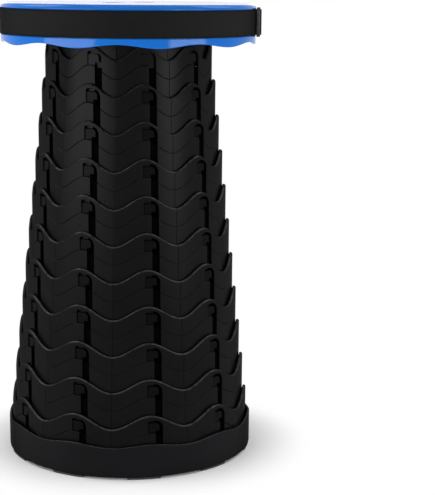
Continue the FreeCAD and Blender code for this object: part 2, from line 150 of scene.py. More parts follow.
class SleeveSizes(PropertyGroup):
    """Sizes of the black sleeves"""
    panels: IntProperty(name="Panels", description="Panels round a sleeve", default=10, min=3)
    azimuth: turn("Panel azimuth", "Where the first panel's middle faces, from the front", 9.3)
    flatness: plain("Flatness", "Radius of a panel's bow over the sleeve's radius", 1.18)
    wall: length("Wall", "Thickness of the wall", 2.9)
    gap: length("Gap", "Room between one sleeve and the next", 0.87)
    wave: length("Wave", "Depth of the waved upper edge", 13.0)
    slope: length("Edge slope", "Size of the slope along the upper edge", 1.2)
    slope_round: length("Slope rounding", "Rounding at both sides of the slope", 0.3)
    seam_width: length("Seam width", "Width of the line between two panels", 0.9)
    seam_depth: length("Seam depth", "Depth of the line between two panels", 0.5)
    pocket_left: length("Pocket left", "Left side of the pocket from the panel's middle", -2.2)
    channel_left: length("Channel left", "Left side of the channel", 5.4)
    channel_right: length("Channel right", "Right side of the channel", 12.5)
    pocket_top: length("Pocket top", "Top of the slot below the crest", 4.7)
    ledge: length("Ledge", "Foot of the pocket below the crest", 17.7)
    arch_round: length("Arch rounding", "Radius of the slot's upper right corner", 8.0)
    pocket_round: length("Pocket rounding", "Radius of the slot's upper left corner", 1.8)
    rim_round: length("Rim rounding", "Rounding of the slot's rim", 0.3)
    skin: length("Skin", "Wall left outside the blind groove below the pocket", 0.8)
    # The web is a dark sheet that stands in for the shade seen through the open channel
    painted_shade_web: length("Web", "Thin inner web that closes the channel below the inner sleeve's foot", 0.5)
    painted_shade_web_drop: length("Web drop", "Top of the web below the crest", 20.8)
    line_drop: length("Line drop", "The fine waved line below the upper edge", 17.7)
    line_width: length("Line width", "Width of the fine waved line", 0.9)
    line_depth: length("Line depth", "Depth of the fine waved line", 0.35)
    column: length("Column", "Width of one column of the wall's mesh", 2.6)


class PegSizes(PropertyGroup):
    """Sizes of the locking pegs"""
    left: length("Left", "Left side from the panel's middle", -2.0)
    right: length("Right", "Right side below the flare", 5.2)
    flare: length("Flare", "Right side of the flared top", 9.2)
    foot: length("Foot", "Foot below the outer sleeve's crest", 17.5)
    top: length("Top", "Top below the outer sleeve's crest", 7.5)
    step: length("Step", "Height of the flare's foot above the peg's foot", 2.2)
    arch: length("Arch", "Radius of the flare's upper corner", 3.6)
    corner: length("Corner", "Radius of the upper left corner", 1.6)
    edge: length("Edge", "Rounding of the face's edge", 0.45)
    face_drop: length("Face drop", "Face of the peg below the outer sleeve's surface", 1.1)
    lip: length("Lip", "Thickness of the flared lip, which runs in front of the channel's web", 0.75)
    # The share of the painted shade, darker and dull, on the peg's face
    shade: plain("Shade", "How dull the peg's face is, deep in its pocket", 0.4)


class SeatSizes(PropertyGroup):
    """Sizes of the blue seat"""
    edge: length("Edge", "Radius of the top edge", 4.3)
    plate: length("Plate", "Thickness of the seat's plate", 4.2)
    skirt_wall: length("Skirt wall", "Thickness of the skirt", 3.0)
    skirt_wave: length("Skirt wave", "Depth of the skirt's waved edge", 3.5)
    skirt_azimuth: turn("Skirt azimuth", "Where the skirt hangs lowest", 13.0)
    lip: length("Lip", "Rounding of the groove's and the skirt's edges", 0.6)
    cap_r: length("Cap radius", "Radius of the round cap", 45.0)
    cap_gap: length("Cap gap", "Joint line round the cap", 0.3)
    cap_t: length("Cap thickness", "Thickness of the cap", 3.0)
    cap_ledge: length("Cap ledge", "Width of the ledge that carries the cap", 3.0)
    hole_r: length("Hole radius", "Radius of a finger hole", 11.75)
    hole_edge: length("Hole edge", "Rounding of a finger hole's edge", 1.2)
    hole_depth: length("Hole depth", "Depth of a finger hole", 21.0)
    cup_wall: length("Cup wall", "Wall of the cup round a finger hole", 1.8)
    rib_t: length("Rib thickness", "Thickness of a rib below the plate", 2.0)
    rib_h: length("Rib height", "Height of a rib below the plate", 3.4)


class BaseSizes(PropertyGroup):
    """Sizes of the black base"""
    wall: length("Wall", "Thickness of the base's wall", 2.4)
    rim_wave: length("Rim wave", "Depth of the waved rim", 3.2)
    rim_round: length("Rim rounding", "Rounding of the rim", 0.7)
    foot_round: length("Foot rounding", "Rounding at the foot of the wall", 1.5)
    lip_width: length("Lip width", "How far the lip reaches below the plate", 7.0)


class StrapSizes(PropertyGroup):
    """Sizes of the webbing and its slider"""
    thickness: length("Thickness", "Thickness of the webbing", 1.5)
    proud: length("Proud", "How far the webbing stands out of the groove", 0.85)
    foot_span: length("Foot span", "Distance between the feet of the carrying loop", 70.0)
    foot_r: length("Foot bend", "Radius of the bend at a foot", 4.0)
    lean: turn("Lean", "Inward lean of the loop's legs", 15.0)
    corner_r: length("Corner", "Radius of the loop's corners", 8.0)
    buckle_azimuth: turn("Slider azimuth", "Where the slider faces, from the front", 84.0)
    buckle_length: length("Slider length", "Length of the slider along the strap", 30.0)
    buckle_height: length("Slider height", "Height of the slider", 28.0)
    buckle_t: length("Slider thickness", "Thickness of the slider", 3.4)
    buckle_bar: length("Slider bar", "Width of the middle bar", 4.2)
    buckle_slot: length("Slider slot", "Width of each slot", 5.6)
    buckle_side: length("Slider side", "Frame above and below the slots", 1.2)
    buckle_corner: length("Slider corner", "Radius of the slider's corners", 2.5)


class StoolColours(PropertyGroup):
    """Colours of the finishes"""
    seat: colour("Seat", "Blue of the moulded seat", (0.002, 0.122, 0.49))
    sleeve: colour("Sleeve", "Black of the sleeves", (0.0034, 0.0034, 0.0035))
    base: colour("Base", "Black of the base", (0.0040, 0.0039, 0.0048))
    webbing: colour("Webbing", "Black of the webbing", (0.0026, 0.0026, 0.0028))
    buckle: colour("Slider", "Black of the slider", (0.006, 0.006, 0.0065))
    foot: colour("Feet", "Black of the pads", (0.014, 0.014, 0.014))
    steel: colour("Screws", "Zinc of the screws", (0.52, 0.52, 0.5))


class StageSizes(PropertyGroup):
    """Camera and lamps"""
    lens: plain("Lens", "Focal length in millimetres", 101.68)
    distance: length("Distance", "Camera in front of the axis", 1396.25)
    height: length("Height", "Camera above the floor", 470.69)
    down: FloatProperty(name="Down", description="Tilt downwards", default=0.18928, unit="ROTATION")
    yaw: FloatProperty(name="Yaw", description="Turn to the right", default=0.06395, unit="ROTATION")
    roll: FloatProperty(
        name="Roll", description="Roll about the line of sight", default=0.00887, unit="ROTATION")


# Finishes

def add_node(tree, kind, inputs=(), output=0, **settings):
    """Any node, with its settings and its sockets, given as pairs of a name or number and a value or link."""
    made = tree.nodes.new(kind)
    for key, value in settings.items():
        setattr(made, key, value)
    for key, value in inputs:
        if isinstance(value, bpy.types.NodeSocket):
            tree.links.new(value, made.inputs[key])
        else:
            made.inputs[key].default_value = value
    return made.outputs[output]


class Value:
    """A socket that takes part in Python arithmetic by adding Math nodes."""

    def __init__(self, finish, socket):
        self.finish = finish
        self.socket = socket

    def __add__(self, other):
        return self.finish.math("ADD", self, other)

    __radd__ = __add__

    def __sub__(self, other):
        return self.finish.math("SUBTRACT", self, other)

    def __rsub__(self, other):
        return self.finish.math("SUBTRACT", other, self)

    def __mul__(self, other):
        return self.finish.math("MULTIPLY", self, other)

    __rmul__ = __mul__

    def __abs__(self):
        return self.finish.math("ABSOLUTE", self)


class Finish:
    """A material whose nodes are added by one method and by arithmetic on values."""

    def __init__(self, name):
        self.material = bpy.data.materials.new(name)
        self.material.use_nodes = True
        self.tree = self.material.node_tree
        self.tree.nodes.clear()

    def node(self, kind, inputs=(), output=0, **settings):
        """Any node, whose sockets also take values."""
        inputs = [(key, value.socket if isinstance(value, Value) else value) for key, value in inputs]
        return Value(self, add_node(self.tree, kind, inputs, output, **settings))

    def math(self, operation, *values):
        return self.node("ShaderNodeMath", enumerate(values), operation=operation)

    def clamp(self, value, low=0.0, high=1.0):
        return self.node("ShaderNodeClamp", (("Value", value), ("Min", low), ("Max", high)))

    def step(self, value, low, high):
        """0 below low and 1 above high, smooth between them."""
        inputs = (("Value", value), ("From Min", low), ("From Max", high))
        return self.node("ShaderNodeMapRange", inputs, interpolation_type="SMOOTHSTEP")

    def mix(self, factor, first, second):
        """A colour between two, by a factor."""
        inputs = ((0, factor), (6, first), (7, second))
        return self.node("ShaderNodeMix", inputs, output=2, data_type="RGBA")

    def place(self, scale=(1, 1, 1), source="Object", turned=(0, 0, 0)):
        """Object coordinates, or the piece's own UV, stretched by a scale."""
        coordinates = self.node("ShaderNodeTexCoord", output=source)
        inputs = (("Vector", coordinates), ("Scale", scale), ("Rotation", turned))
        return self.node("ShaderNodeMapping", inputs)

    def noise(self, where, scale, detail=2.0, roughness=0.5):
        inputs = (("Vector", where), ("Scale", scale), ("Detail", detail), ("Roughness", roughness))
        return self.node("ShaderNodeTexNoise", inputs)

    def axis(self, vector, number):
        return self.node("ShaderNodeSeparateXYZ", ((0, vector),), output=number)

    def attribute(self, name):
        """A number stored on the piece's points."""
        return self.node("ShaderNodeAttribute", output="Fac", attribute_name=name)

    def bump(self, height, distance, strength=1.0):
        inputs = (("Height", height), ("Distance", distance), ("Strength", strength))
        return self.node("ShaderNodeBump", inputs)

    def edge_on(self):
        """How matt a black piece is: 0 where it faces the eye, more where it is seen edge-on. On moulded black it
        also brings in the painted shade.
        """
        facing = self.node("ShaderNodeLayerWeight", (("Blend", 0.5),), output="Facing")
        return self.step(facing, 0.2, 0.8) * EDGE_ON_MATT

    def shader(self, **sockets):
        """A Principled shader. A name's underscores stand for the blanks in the socket's name."""
        inputs = [(name.replace("_", " "), value) for name, value in sockets.items()]
        return self.node("ShaderNodeBsdfPrincipled", inputs)

    def surface(self, **sockets):
        """A finished material of one shader."""
        return self.end(self.shader(**sockets))

    def two_surfaces(self, factor, first, second):
        """A finished material that goes from one shader to another."""
        return self.end(self.node("ShaderNodeMixShader", ((0, factor), (1, first), (2, second))))

    def end(self, shader):
        """Joins a shader to the output and gives the finished material."""
        out = self.tree.nodes.new("ShaderNodeOutputMaterial")
        self.tree.links.new(shader.socket, out.inputs["Surface"])
        return self.material


def opaque(rgb, factor=1.0):
    """A colour made brighter or darker, with its alpha."""
    return tuple(min(1.0, c * factor) for c in rgb) + (1.0,)


def moulded_black(name, rgb, roughness, drag, gloss):
    """Satin black moulded plastic with a fine grain and worn edges, and a painted shade, darker and dull, in its
    slots and where it is seen edge-on.
    """
    finish = Finish(name)
    where = finish.place()
    grain = finish.noise(where, 1500, 3, 0.6)
    cloud = finish.noise(where, 16, 3)
    flow = finish.noise(finish.place((1, 1, 0.18)), 90, 3)
    rubs = finish.step(finish.noise(finish.place((420, 420, 9)), 1.0, 2), 0.62, 0.78)
    worn = finish.attribute("edge")
    worn_patchy = worn * finish.step(finish.noise(where, 240, 2), 0.2, 0.6)
    shade = finish.mix(finish.step(cloud, 0.3, 0.7), opaque(rgb, 0.86), opaque(rgb, 1.16))
    shade = finish.mix(rubs * drag, shade, opaque(rgb, 2.0))
    shade = finish.mix(worn_patchy, shade, opaque(rgb, WORN_BLACK))
    rough = roughness + (cloud - 0.5) * 0.10 + (flow - 0.5) * 0.10 + rubs * (0.12 * drag) - worn * 0.07
    relief = 0.05 * MM
    open_side = finish.shader(
        Base_Color=shade, Roughness=finish.clamp(rough, 0.12, 0.9), Specular_IOR_Level=gloss,
        Normal=finish.bump(grain * 0.7 + flow * 0.3, relief, 0.45),
    )
    # Painted shade: a darker, dull black without reflection, for deep in the slots and where the piece is seen
    # edge-on
    painted_shade_side = finish.shader(
        Base_Color=opaque(rgb, 0.4), Roughness=finish.clamp(0.8 + (grain - 0.5) * 0.2),
        Specular_IOR_Level=0.0, Normal=finish.bump(grain, relief, 0.45),
    )
    # The painted shade takes over where the points carry it and where the piece is seen edge-on
    calm_and_painted_shade = finish.math("MAXIMUM", finish.attribute("calm_and_painted_shade"), finish.edge_on())
    return finish.two_surfaces(calm_and_painted_shade, open_side, painted_shade_side)


def moulded_blue(name, rgb, roughness):
    """Glossy blue moulded plastic: slight orange peel, faint scuffs and a little paler worn edges."""
    finish = Finish(name)
    where = finish.place()
    peel = finish.noise(where, 260, 2)
    grain = finish.noise(where, 1900, 2)
    cloud = finish.noise(where, 9, 3)
    scuff_where = finish.place((30, 700, 60), turned=(0, 0, 0.6))
    scratches = finish.step(finish.noise(scuff_where, 1.0, 3), 0.66, 0.80)
    scuffs = scratches * finish.step(finish.noise(where, 22, 2), 0.5, 0.7)
    worn = finish.attribute("edge")
    shade = finish.mix(finish.step(cloud, 0.25, 0.75), opaque(rgb, 0.95), opaque(rgb, 1.05))
    shade = finish.mix(scuffs * 0.10, shade, (0.35, 0.5, 0.8, 1))
    shade = finish.mix(worn * 0.12, shade, (0.10, 0.32, 0.80, 1))
    calm_and_painted_shade = finish.attribute("calm_and_painted_shade")
    rough = roughness + (cloud - 0.5) * 0.05 + (peel - 0.5) * 0.03 + scuffs * 0.15
    height = (peel * 0.6 + grain * 0.1) * (1 - calm_and_painted_shade)
    return finish.surface(
        Base_Color=shade, Roughness=finish.clamp(rough, 0.05, 0.9), Specular_IOR_Level=0.16,
        Normal=finish.bump(height, 0.03 * MM, 0.15),
    )


def woven(name, rgb):
    """Black webbing: slanted ribs that cross in small diamonds, bound edges and a soft sheen, with painted shade
    in the weave's hollows and painted highlight on its raised ribs.
    """
    finish = Finish(name)
    across = finish.place(source="UV")
    run = finish.axis(across, 0)
    over = finish.axis(across, 1)
    pick, weft_pitch, warp_pitch = 2.6 * MM, 0.55 * MM, 0.8 * MM
    bound_from, bound_to = 10.4 * MM, 11.1 * MM
    rise = finish.math("SINE", (run + over) * (FULL_TURN / pick))
    fall = finish.math("SINE", (run - over) * (FULL_TURN / pick))
    diamond = finish.math("MAXIMUM", rise, fall) * 0.5 + 0.5
    weft = finish.math("SINE", run * (FULL_TURN / weft_pitch)) * 0.5 + 0.5
    warp = finish.math("SINE", over * (FULL_TURN / warp_pitch)) * 0.5 + 0.5
    fuzz = finish.noise(finish.place(), 2600, 2)
    bound = finish.step(abs(over), bound_from, bound_to)
    relief = diamond * (1 - bound) + weft * bound
    height = relief * 0.75 + weft * 0.12 + warp * 0.08 + fuzz * 0.2
    # Painted shade and painted highlight: darker in the weave's hollows, lighter on its raised ribs
    shade = finish.mix(relief, opaque(rgb, 0.3), opaque(rgb, 2.2))
    shade = finish.mix(fuzz * 0.3, shade, opaque(rgb, 2.6))
    rough = 0.52 + (fuzz - 0.5) * 0.2 - relief * 0.12
    yarn = finish.shader(
        Base_Color=shade, Roughness=finish.clamp(rough, 0.3, 1.0), Specular_IOR_Level=0.06,
        Normal=finish.bump(height, 0.35 * MM, 1.0),
    )
    fibre = finish.shader(Base_Color=shade, Roughness=1.0, Specular_IOR_Level=0.0, Sheen_Weight=0.006)
    return finish.two_surfaces(finish.edge_on(), yarn, fibre)


def rubber(name, rgb):
    """Dull black rubber with a stippled, slightly dusty face."""
    finish = Finish(name)
    where = finish.place()
    stipple = finish.noise(where, 1300, 2)
    dust = finish.noise(where, 60, 3)
    shade = finish.mix(finish.step(dust, 0.4, 0.8) * 0.5, opaque(rgb), opaque(rgb, 2.4))
    return finish.surface(
        Base_Color=shade, Roughness=finish.clamp(0.72 + (stipple - 0.5) * 0.2), IOR=1.48,
        Normal=finish.bump(stipple, 0.06 * MM, 0.6),
    )


def zinc(name, rgb):
    """Zinc plated steel with a turned, slightly stained surface."""
    finish = Finish(name)
    where = finish.place()
    stain = finish.noise(where, 300, 3)
    turned = finish.noise(finish.place((900, 900, 7000)), 1.0, 1)
    shade = finish.mix(stain * 0.5, opaque(rgb), opaque(rgb, 0.55))
    return finish.surface(
        Base_Color=shade, Metallic=1.0, Roughness=finish.clamp(0.26 + stain * 0.22),
        Normal=finish.bump(turned, 0.02 * MM, 0.4),
    )


def finish_named(slot):
    """The finish of a material slot, made once."""
    name = slot + "_finish"
    if name in bpy.data.materials:
        return bpy.data.materials[name]
    tints = bpy.context.scene.stool_colours
    makers = {
        "seat_plastic": lambda: moulded_blue(name, tints.seat, 0.12),
        "sleeve_plastic": lambda: moulded_black(name, tints.sleeve, 0.34, 0.35, 0.05),
        "base_plastic": lambda: moulded_black(name, tints.base, 0.38, 0.2, 0.07),
        "foot_rubber": lambda: rubber(name, tints.foot),
        "webbing": lambda: woven(name, tints.webbing),
        "buckle_plastic": lambda: moulded_black(name, tints.buckle, 0.30, 0.15, 0.2),
        "screw_steel": lambda: zinc(name, tints.steel),
    }
    return makers[slot]()


def paint(node, slot):
    """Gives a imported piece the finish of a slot."""
    data = frame["nodes"][node].data
    data.materials.clear()
    data.materials.append(finish_named(slot))


# Shapes

def at(radius, angle, height=0.0):
    """A point at an angle from the front."""
    return Vector((radius * math.sin(angle), -radius * math.cos(angle), height))


def rounded_path(corners, closed=True, arc_points=5):
    """Points through corners (x, y, radius), with an arc of a few points at each corner that has a radius."""
    path = []
    count = len(corners)
    for i, (x, y, radius) in enumerate(corners):
        here = Vector((x, y))
        if radius <= 0 or not (closed or 0 < i < count - 1):
            path.append(here)
            continue
        back = (Vector(corners[i - 1][:2]) - here).normalized()
        ahead = (Vector(corners[(i + 1) % count][:2]) - here).normalized()
        half = back.angle(ahead) / 2
        centre = here + (back + ahead).normalized() * (radius / math.sin(half))
        first = here + back * (radius / math.tan(half)) - centre
        last = here + ahead * (radius / math.tan(half)) - centre
        start = math.atan2(first.y, first.x)
        sweep = (math.atan2(last.y, last.x) - start + math.pi) % FULL_TURN - math.pi
        for k in range(arc_points + 1):
            angle = start + sweep * k / arc_points
            path.append(centre + Vector((math.cos(angle), math.sin(angle))) * radius)
    return path


def signed_area(path):
    """Area inside a closed path, negative where it runs clockwise."""
    return sum(a.x * b.y - b.x * a.y for a, b in zip(path, path[1:] + path[:1])) / 2


def grown(path, distance):
    """A closed path moved outwards by a distance."""
    side = 1 if signed_area(path) > 0 else -1
    moved = []
    count = len(path)
    for i, here in enumerate(path):
        back = (here - path[i - 1]).normalized()
        ahead = (path[(i + 1) % count] - here).normalized()
        normal = Vector((back.y + ahead.y, -back.x - ahead.x)).normalized() * side
        across = Vector((back.y, -back.x)) * side
        moved.append(here + normal * (distance / max(0.3, normal.dot(across))))
    return moved


def inside(path, point):
    """Whether a point lies inside a closed path."""
    found = False
    for a, b in zip(path, path[1:] + path[:1]):
        if (a.y > point.y) != (b.y > point.y):
            if point.x < a.x + (point.y - a.y) / (b.y - a.y) * (b.x - a.x):
                found = not found
    return found


def distance_to(path, point):
    """Distance from a point to a closed path."""
    best = math.inf
    for a, b in zip(path, path[1:] + path[:1]):
        along = b - a
        part = max(0.0, min(1.0, (point - a).dot(along) / max(along.length_squared, 1e-18)))
        best = min(best, (point - a - along * part).length)
    return best


def eased(distance, depth, width):
    """Depth of a rounded rim at a distance from its edge."""
    if distance >= width:
        return 0.0
    part = 1 - max(0.0, distance) / width
    return depth * (1 - math.sqrt(1 - part * part))


def triangulated(points, edges):
    """Points and faces that fill a flat figure and keep to its edges."""
    flat, _, faces, _, _, _ = delaunay_2d_cdt(points, edges, [], 0, 1e-8)
    return flat, faces


def middle_of(face, flat):
    """Middle of a face, given as numbers of flat points."""
    return sum((flat[i] for i in face), Vector((0, 0))) / len(face)


def cleaned(data, merge=0.0, outward=True):
    """A mesh with its near points joined and its faces turned outwards."""
    shape = bmesh.new()
    shape.from_mesh(data)
    if merge:
        bmesh.ops.remove_doubles(shape, verts=shape.verts, dist=merge)
    if outward:
        bmesh.ops.recalc_face_normals(shape, faces=shape.faces)
    shape.to_mesh(data)
    shape.free()
    return data


class Lattice:
    """Points and faces of a mesh. Each point has a number for edge wear and one for the quieter finish, which on
    black pieces is the painted shade of their slots.
    """

    def __init__(self):
        self.points = []
        self.faces = []
        self.wear = []
        self.calm_and_painted_shade = []

    def add(self, point, wear=0.0, calm_and_painted_shade=0.0):
        self.points.append(tuple(point))
        self.wear.append(wear)
        self.calm_and_painted_shade.append(calm_and_painted_shade)
        return len(self.points) - 1

    def wall(self, above, below):
        """Faces between two closed rows of points."""
        for i in range(len(above)):
            j = (i + 1) % len(above)
            self.faces.append([above[i], below[i], below[j], above[j]])

    def mesh(self, name, merge=0.001 * MM, outward=True):
        data = bpy.data.meshes.new(name)
        data.from_pydata(self.points, [], self.faces)
        for key, values in (("edge", self.wear), ("calm_and_painted_shade", self.calm_and_painted_shade)):
            data.attributes.new(key, "FLOAT", "POINT").data.foreach_set("value", values)
        return cleaned(data, merge, outward)


def smoothed(mesh, degrees=38):
    """Smooth shading, with the edges sharper than an angle kept sharp."""
    mesh.shade_smooth()
    mesh.set_sharp_from_angle(angle=math.radians(degrees))


def placed(name, data):
    """A new object in the scene."""
    made = bpy.data.objects.new(name, data)
    bpy.context.scene.collection.objects.link(made)
    return made


def show(name, mesh, body, slot, nodes=()):
    """Puts a finished mesh in the scene as a piece on a body."""
    piece = placed(name, mesh)
    if not mesh.materials:
        mesh.materials.append(finish_named(slot))
    if body:
        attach(piece, body)
    if nodes:
        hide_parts(*nodes)
    return piece


def ring_tree():
    """Geometry Nodes that turn a patch into a ring of copies, joined where they meet."""
    tree = bpy.data.node_groups.new("ring_of_copies", "GeometryNodeTree")
    for name, kind in (("Geometry", "Geometry"), ("Count", "Int"), ("Azimuth", "Float"),
                       ("Merge Distance", "Float"), ("Material", "Material")):
        tree.interface.new_socket(name, in_out="INPUT", socket_type="NodeSocket" + kind)
    tree.interface.new_socket("Geometry", in_out="OUTPUT", socket_type="NodeSocketGeometry")
    given = tree.nodes.new("NodeGroupInput").outputs

    def node(kind, *inputs, **settings):
        return add_node(tree, kind, inputs, **settings)

    points = node("GeometryNodePoints", ("Count", given["Count"]))
    number = node("GeometryNodeInputIndex")
    share = node("ShaderNodeMath", (0, FULL_TURN), (1, given["Count"]), operation="DIVIDE")
    angle = node("ShaderNodeMath", (0, number), (1, share), (2, given["Azimuth"]), operation="MULTIPLY_ADD")
    turned = node("ShaderNodeCombineXYZ", ("Z", angle))
    copies = node("GeometryNodeInstanceOnPoints",
                  ("Points", points), ("Instance", given["Geometry"]), ("Rotation", turned))
    real = node("GeometryNodeRealizeInstances", ("Geometry", copies))
    joined = node("GeometryNodeMergeByDistance", ("Geometry", real), ("Distance", given["Merge Distance"]))
    painted = node("GeometryNodeSetMaterial", ("Geometry", joined), ("Material", given["Material"]))
    out = tree.nodes.new("NodeGroupOutput")
    tree.links.new(painted, out.inputs["Geometry"])
    return tree


def ring_of(name, patch, count, azimuth, slot, merge=0.02 * MM):
    """A plain mesh of a patch's copies round the axis."""
    tree = bpy.data.node_groups.get("ring_of_copies") or ring_tree()
    holder = placed(name, patch)
    modifier = holder.modifiers.new("ring", "NODES")
    modifier.node_group = tree
    values = {"Count": count, "Azimuth": azimuth, "Merge Distance": merge, "Material": finish_named(slot)}
    for item in tree.interface.items_tree:
        if item.in_out == "INPUT" and item.name in values:
            modifier[item.identifier] = values[item.name]
    seen = holder.evaluated_get(bpy.context.evaluated_depsgraph_get())
    mesh = bpy.data.meshes.new_from_object(seen)
    mesh.name = name
    holder.modifiers.remove(modifier)
    bpy.data.objects.remove(holder)
    smoothed(cleaned(mesh))
    return mesh


def lathe(name, profile_at, count, worn=(), calm_and_painted_shade=()):
    """A closed ring whose section, a closed path of (radius, height), may change with the angle.

    The points of the section whose numbers are in worn or calm have that finish.
    """
    made = Lattice()
    sections = [profile_at(FULL_TURN * k / count) for k in range(count)]
    rows = len(sections[0])
    for k, section in enumerate(sections):
        for i, (radius, height) in enumerate(section):
            made.add(at(radius, FULL_TURN * k / count, height), float(i in worn), float(i in calm_and_painted_shade))
    for k in range(count):
        following = (k + 1) % count
        for i in range(rows):
            j = (i + 1) % rows
            made.faces.append((k * rows + i, k * rows + j, following * rows + j, following * rows + i))
    mesh = made.mesh(name, merge=0)
    smoothed(mesh)
    return mesh


def plate(made, outline, holes, place, depth, rim):
    """One face of a plate, with rounded rims. place maps (x, y, depth) to a point."""
    paths = [outline] + list(holes)
    points, edges = [], []
    for number, path in enumerate(paths):
        sign = -1 if number == 0 else 1
        for share in (0.0, 0.3, 0.65, 1.0, 1.8):
            moved = grown(path, sign * rim * share) if share else path
            base = len(points)
            points += moved
            edges += [(base + i, base + (i + 1) % len(moved)) for i in range(len(moved))]
    flat, faces = triangulated(points, edges)
    index = {}

    def vertex(i):
        if i not in index:
            near = min(distance_to(path, flat[i]) for path in paths)
            drop = eased(near, rim, rim)
            index[i] = made.add(place(flat[i].x, flat[i].y, depth + drop), 1.0 if near < rim * 0.8 else 0.0)
        return index[i]

    for face in faces:
        middle = middle_of(face, flat)
        if inside(outline, middle) and not any(inside(hole, middle) for hole in holes):
            made.faces.append([vertex(i) for i in face])


# Sleeves

class PanelShape:
    """One panel of a sleeve: a slightly flattened arc, with everything measured from its middle line."""

    def __init__(self, sizes, radius):
        half = math.pi / sizes.panels
        self.bow = sizes.flatness * radius
        self.reach = radius * math.sin(half)
        self.centre = radius * math.cos(half) - math.sqrt(self.bow ** 2 - self.reach ** 2)
        self.panels = sizes.panels

    def place(self, x, z, depth):
        """The point at x across the panel, at a height and a depth below the outer surface."""
        y = self.centre + math.sqrt(self.bow ** 2 - x * x)
        scale = 1 - depth / math.hypot(x, y)
        return Vector((x * scale, -y * scale, z))

    def angle(self, x):
        return math.atan2(x, self.centre + math.sqrt(self.bow ** 2 - x * x))

    def wave(self, x):
        """0 at the middle and 1 at the seams."""
        return (1 - math.cos(self.panels * self.angle(x))) / 2


def panel_columns(reach, width, seam):
    """Places of the columns across a panel, closer at the seams."""
    inner = reach - seam * 1.6
    count = max(4, round(2 * inner / width))
    middle = [-inner + 2 * inner * i / count for i in range(count + 1)]
    sides = [reach, reach - seam * 0.14, reach - seam * 0.32, reach - seam * 0.5, reach - seam * 0.8]
    return [-x for x in sides] + middle + list(reversed(sides))


def sleeve_patch(name, sizes, peg_sizes, radius, crest, low, with_peg):
    """One panel of a sleeve with its slot, its lines, its rounded upper edge, its inner side and its peg."""
    shape = PanelShape(sizes, radius)
    columns = panel_columns(shape.reach, sizes.column, sizes.seam_width)
    rim = sizes.rim_round
    edge_drop = sizes.slope + 0.3 * MM

    def seam(x):
        return eased(shape.reach - abs(x), sizes.seam_depth, sizes.seam_width / 2)

    def upper(x, drop=0.0):
        return crest - sizes.wave * shape.wave(x) - drop

    ledge = crest - sizes.ledge
    ceiling = crest - sizes.pocket_top
    open_end = low - 5 * MM
    slot = rounded_path([
        (sizes.pocket_left, ledge, 0.4 * MM), (sizes.pocket_left, ceiling, sizes.pocket_round),
        (sizes.channel_right, ceiling, sizes.arch_round), (sizes.channel_right, open_end, 0),
        (sizes.channel_left, open_end, 0), (sizes.channel_left, ledge, 0.5 * MM),
    ], arc_points=7)

    def line_height(x):
        return upper(x, sizes.line_drop)

    def stretch(x):
        """How much taller than wide the fine line is where it slopes."""
        slope = (line_height(x + 0.1 * MM) - line_height(x - 0.1 * MM)) / (0.2 * MM)
        return math.sqrt(1 + slope * slope)

    def line(x, z):
        """Depth of the fine waved line."""
        away = abs(z - line_height(x)) / stretch(x)
        half = sizes.line_width / 2
        return sizes.line_depth * (1 - away / half) ** 0.8 if away < half else 0.0

    points, edges = [], []

    def run(path, closed=False):
        base = len(points)
        points.extend(path)
        last = len(path) if closed else len(path) - 1
        edges.extend((base + i, base + (i + 1) % len(path)) for i in range(last))

    # The web is a thin dark sheet that closes the channel below the inner sleeve's foot, standing in for the shade
    # seen through the open slot, and it carries the painted shade
    painted_shade_web_top = crest - sizes.painted_shade_web_drop
    painted_shade_web_depth = sizes.wall - sizes.painted_shade_web
    for x in columns:
        run([Vector((x, low)), Vector((x, upper(x, edge_drop)))])
    run([Vector((sizes.channel_left - rim * 3, painted_shade_web_top)), Vector((sizes.channel_right + rim * 3, painted_shade_web_top))])
    run([Vector((sizes.pocket_left, low)), Vector((sizes.pocket_left, ledge))])
    run([Vector((x, low)) for x in columns])
    run([Vector((x, upper(x, edge_drop))) for x in columns])
    run(slot, closed=True)
    for share in (0.35, 0.7, 1.0, 1.8):
        run(grown(slot, rim * share), closed=True)
    for offset in (-1.0, -0.5, -0.22, 0.0, 0.22, 0.5, 1.0):
        run([Vector((x, line_height(x) + offset * sizes.line_width * stretch(x))) for x in columns])
    flat, faces = triangulated(points, edges)

    def on_border(first, second):
        """Whether an edge lies where the next panel or the upper edge joins on."""
        tiny = 1e-6
        at_side = all(abs(abs(p.x) - shape.reach) < tiny for p in (first, second))
        return at_side or all(abs(p.y - upper(p.x, edge_drop)) < tiny for p in (first, second))

    made = Lattice()
    keys = {}

    def vertex(i, depth_key):
        if (i, depth_key) not in keys:
            x, z = flat[i]
            near = distance_to(slot, flat[i])
            if depth_key == 0:
                depth = max(eased(near, rim, rim), line(x, z), seam(x))
                calm_and_painted_shade = 0.0
            else:
                depth = depth_key
                # Inside, the points near the slot and the web's points take the painted shade of the slot
                calm_and_painted_shade = 1.0 if near < rim or depth_key == painted_shade_web_depth else 0.0
            keys[(i, depth_key)] = made.add(shape.place(x, z, depth), 0.0, calm_and_painted_shade)
        return keys[(i, depth_key)]

    kept = []
    for face in faces:
        middle = middle_of(face, flat)
        if middle.y < low or middle.y > upper(middle.x, edge_drop) or abs(middle.x) > shape.reach:
            continue
        if inside(slot, middle):
            # Faces in the channel below the web's top make the dark web
            if middle.y < painted_shade_web_top:
                kept.append((face, painted_shade_web_depth, sizes.wall))
            continue
        blind = sizes.pocket_left < middle.x < sizes.channel_left and middle.y < ledge
        kept.append((face, 0, sizes.skin if blind else sizes.wall))

    def edge_place(x, drop, depth):
        return shape.place(x, upper(x, drop), depth + seam(x) * (1 - depth / sizes.wall))

    thicken(made, kept, vertex, lambda a, b: on_border(flat[a], flat[b]))
    add_upper_edge(made, sizes, columns, edge_drop, edge_place)
    if with_peg:
        add_peg(made, sizes, peg_sizes, shape, crest - tier_step)
    return made.mesh(name + "_panel", merge=0.002 * MM, outward=False)


